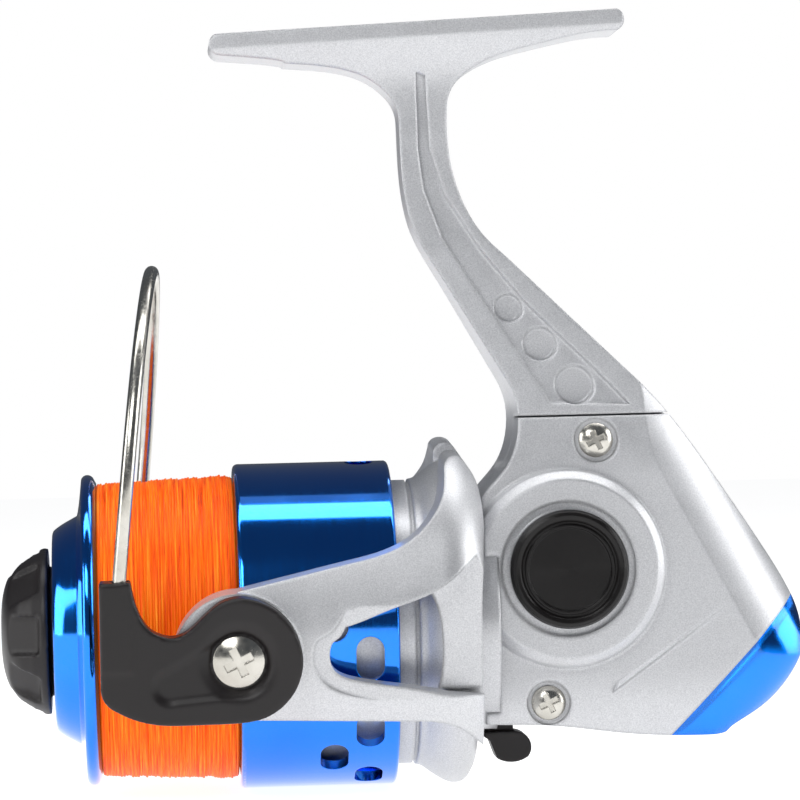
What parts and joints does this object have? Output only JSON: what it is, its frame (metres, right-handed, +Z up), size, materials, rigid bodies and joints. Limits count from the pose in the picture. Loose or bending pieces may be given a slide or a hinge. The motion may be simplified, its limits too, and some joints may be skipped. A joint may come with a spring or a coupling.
{
  "type": "spinning fishing reel",
  "caption": "Fixed-spool spinning reel with a foot on a curved stem, geared rotor with wire bail, sliding spool with drag, and a side crank handle.",
  "frame": {"origin": "middle of the foot's flat top face, where the rod's reel seat touches", "axes": "+X to the rear along the spool axis, +Y to the crank handle side, +Z up towards the rod"},
  "size_m": [0.1199, 0.1036, 0.1157],
  "materials": {
    "silver_paint": "satin metallic paint",
    "blue_chrome": "polished blue anodised",
    "black_plastic": "satin",
    "soft_black": "matt soft touch",
    "steel": "turned",
    "bright_steel": "polished",
    "brass": "turned",
    "zinc": "cast, satin",
    "nylon_line": "gloss monofilament",
    "white_nylon": "satin",
    "felt": "matt"
  },
  "bodies": {
    "frame": {"body_frame": "silver_paint", "side_cover": "silver_paint", "rear_cap": "blue_chrome", "cover_screws": "bright_steel", "rear_cap_screw": "bright_steel", "gear_bush_cover": "brass", "gear_bush_body": "brass", "pinion_bearing": "steel", "slider_rod": "steel"},
    "crank": {"drive_gear": "zinc", "handle_shaft": "zinc", "handle_arm": "silver_paint", "knob_spindle": "steel", "socket_cap": "black_plastic"},
    "knob": {"handle_knob": "soft_black", "knob_cap": "black_plastic"},
    "rotor_unit": {"rotor": "silver_paint", "pinion": "brass", "rotor_nut": "brass", "ratchet_wheel": "steel", "bail_spring": "steel", "bail_screw_near": "bright_steel", "bail_screw_far": "bright_steel"},
    "bail": {"bail_lever": "black_plastic", "bail_wire": "bright_steel", "bail_holder_far": "black_plastic", "roller_screw": "bright_steel"},
    "roller": {"line_roller": "bright_steel"},
    "trip": {"trip_lever": "steel"},
    "oscillator": {"oscillation_gear": "white_nylon"},
    "shaft_unit": {"main_shaft": "steel", "slider": "zinc", "slider_screw": "bright_steel", "spool_seat": "steel"},
    "spool_unit": {"spool": "blue_chrome", "line_winding": "nylon_line", "click_wheel": "white_nylon", "drag_felt_washers": "felt", "drag_metal_washers": "steel", "drag_retaining_ring": "steel"},
    "drag_adjuster": {"drag_nut": "brass", "drag_spring": "steel", "drag_knob": "black_plastic", "drag_clip": "steel"},
    "stop_lever": {"anti_reverse_lever": "black_plastic"},
    "stop_pawl": {"anti_reverse_pawl": "steel"}
  },
  "joints": [
    {"name": "crank_turn", "type": "hinge", "parent": "frame", "child": "crank", "pos_m": [0.02, 0, -0.0822], "axis": [0, 1, 0], "continuous": true},
    {"name": "knob_spin", "type": "hinge", "parent": "crank", "child": "knob", "pos_m": [-0.025, 0.055, -0.0862], "axis": [0, 1, 0], "continuous": true},
    {"name": "rotor_spin", "type": "hinge", "parent": "frame", "child": "rotor_unit", "pos_m": [0, 0, -0.09], "axis": [1, 0, 0], "continuous": true},
    {"name": "bail_open", "type": "hinge", "parent": "rotor_unit", "child": "bail", "pos_m": [-0.0295, 0, -0.09], "axis": [0, -0.9951, -0.0993], "range_deg": [0, 100]},
    {"name": "roller_spin", "type": "hinge", "parent": "bail", "child": "roller", "pos_m": [-0.0432, -0.02756, -0.09577], "axis": [0, 0.9951, 0.0993], "continuous": true},
    {"name": "trip_slide", "type": "slide", "parent": "rotor_unit", "child": "trip", "axis": [1, 0, 0], "range_m": [0, 0.002]},
    {"name": "oscillator_turn", "type": "hinge", "parent": "frame", "child": "oscillator", "pos_m": [0.032, 0.006, -0.086], "axis": [0, 1, 0], "continuous": true},
    {"name": "shaft_stroke", "type": "slide", "parent": "frame", "child": "shaft_unit", "axis": [1, 0, 0], "range_m": [-0.0085, 0.0045]},
    {"name": "drag_slip", "type": "hinge", "parent": "shaft_unit", "child": "spool_unit", "pos_m": [-0.04, 0, -0.09], "axis": [1, 0, 0], "continuous": true},
    {"name": "drag_adjust", "type": "hinge", "parent": "shaft_unit", "child": "drag_adjuster", "pos_m": [-0.06, 0, -0.09], "axis": [1, 0, 0], "range_deg": [-180, 180]},
    {"name": "stop_lever_turn", "type": "hinge", "parent": "frame", "child": "stop_lever", "pos_m": [0.008, 0, -0.102], "axis": [1, 0, 0], "range_deg": [0, 22]},
    {"name": "stop_pawl_turn", "type": "hinge", "parent": "frame", "child": "stop_pawl", "pos_m": [0.0015, 0.01, -0.0995], "axis": [1, 0, 0], "range_deg": [-7, 0]}
  ],
  "couplings": [
    {"joint": "rotor_spin", "follows": "crank_turn", "ratio": -5.1111},
    {"joint": "oscillator_turn", "follows": "crank_turn", "ratio": -0.43333},
    {"joint": "trip_slide", "follows": "bail_open", "m_per_rad": 0.0011448},
    {"joint": "stop_pawl_turn", "follows": "stop_lever_turn", "ratio": -0.31364}
  ]
}
